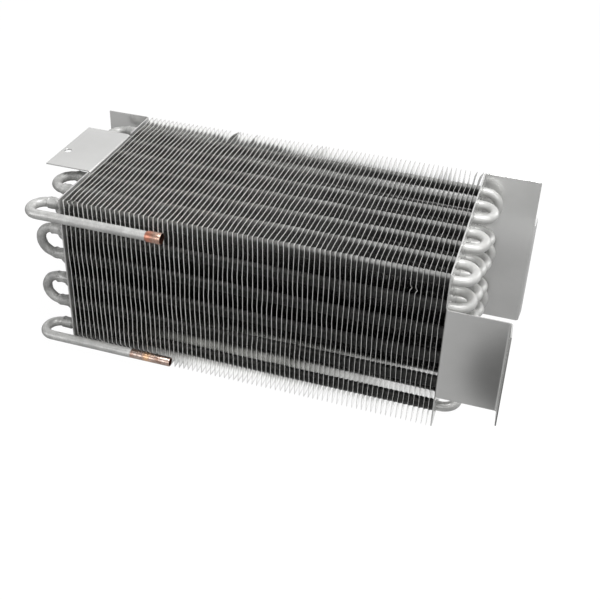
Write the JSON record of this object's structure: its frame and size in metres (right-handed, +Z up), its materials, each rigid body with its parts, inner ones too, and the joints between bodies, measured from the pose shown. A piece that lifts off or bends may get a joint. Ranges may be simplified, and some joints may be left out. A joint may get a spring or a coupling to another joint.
{
  "type": "evaporator coil",
  "caption": "Finned-tube evaporator coil: a serpentine of hairpin tubes through thin flat fins, folded end plates and two front lines.",
  "frame": {"origin": "under the middle of the whole part, on the plane that the end plates stand on", "axes": "+X along the tubes from the brazed end towards the hairpin bends, +Y from the front lines to the back, +Z up"},
  "size_m": [0.4288, 0.2146, 0.1524],
  "materials": {
    "fin_aluminium": "thin bare aluminium sheet with bright cut edges",
    "end_plate_sheet": "matte light grey sheet with folded edges",
    "coated_tube": "smooth light grey coating over copper tube",
    "line_copper": "copper tube, grey coated up to bare ends with a little heat tint"
  },
  "bodies": {
    "root": {"fins": "fin_aluminium", "hairpin_back_rows_1_2": "coated_tube", "hairpin_back_rows_3_4": "coated_tube", "hairpin_back_rows_5_6": "coated_tube", "hairpin_row_1_front": "coated_tube", "hairpin_row_1_middle": "coated_tube", "hairpin_row_1_rear": "coated_tube", "hairpin_row_2_front": "coated_tube", "hairpin_row_2_middle": "coated_tube", "hairpin_row_2_rear": "coated_tube", "hairpin_row_3_front": "coated_tube", "hairpin_row_3_middle": "coated_tube", "hairpin_row_3_rear": "coated_tube", "hairpin_row_4_front": "coated_tube", "hairpin_row_4_middle": "coated_tube", "hairpin_row_4_rear": "coated_tube", "hairpin_row_5_front": "coated_tube", "hairpin_row_5_middle": "coated_tube", "hairpin_row_5_rear": "coated_tube", "hairpin_row_6_front": "coated_tube", "hairpin_row_6_middle": "coated_tube", "hairpin_row_6_rear": "coated_tube", "inlet_line": "line_copper", "left_end_plate": "end_plate_sheet", "return_bend_front_rows_2_3": "coated_tube", "return_bend_front_rows_4_5": "coated_tube", "return_bend_row_1_front": "coated_tube", "return_bend_row_1_middle": "coated_tube", "return_bend_row_1_rear": "coated_tube", "return_bend_row_2_front": "coated_tube", "return_bend_row_2_middle": "coated_tube", "return_bend_row_2_rear": "coated_tube", "return_bend_row_3_front": "coated_tube", "return_bend_row_3_middle": "coated_tube", "return_bend_row_3_rear": "coated_tube", "return_bend_row_4_front": "coated_tube", "return_bend_row_4_middle": "coated_tube", "return_bend_row_4_rear": "coated_tube", "return_bend_row_5_front": "coated_tube", "return_bend_row_5_middle": "coated_tube", "return_bend_row_5_rear": "coated_tube", "return_bend_row_6_front": "coated_tube", "return_bend_row_6_middle": "coated_tube", "return_bend_row_6_rear": "coated_tube", "right_end_plate": "end_plate_sheet", "suction_line": "line_copper"}
  },
  "joints": []
}
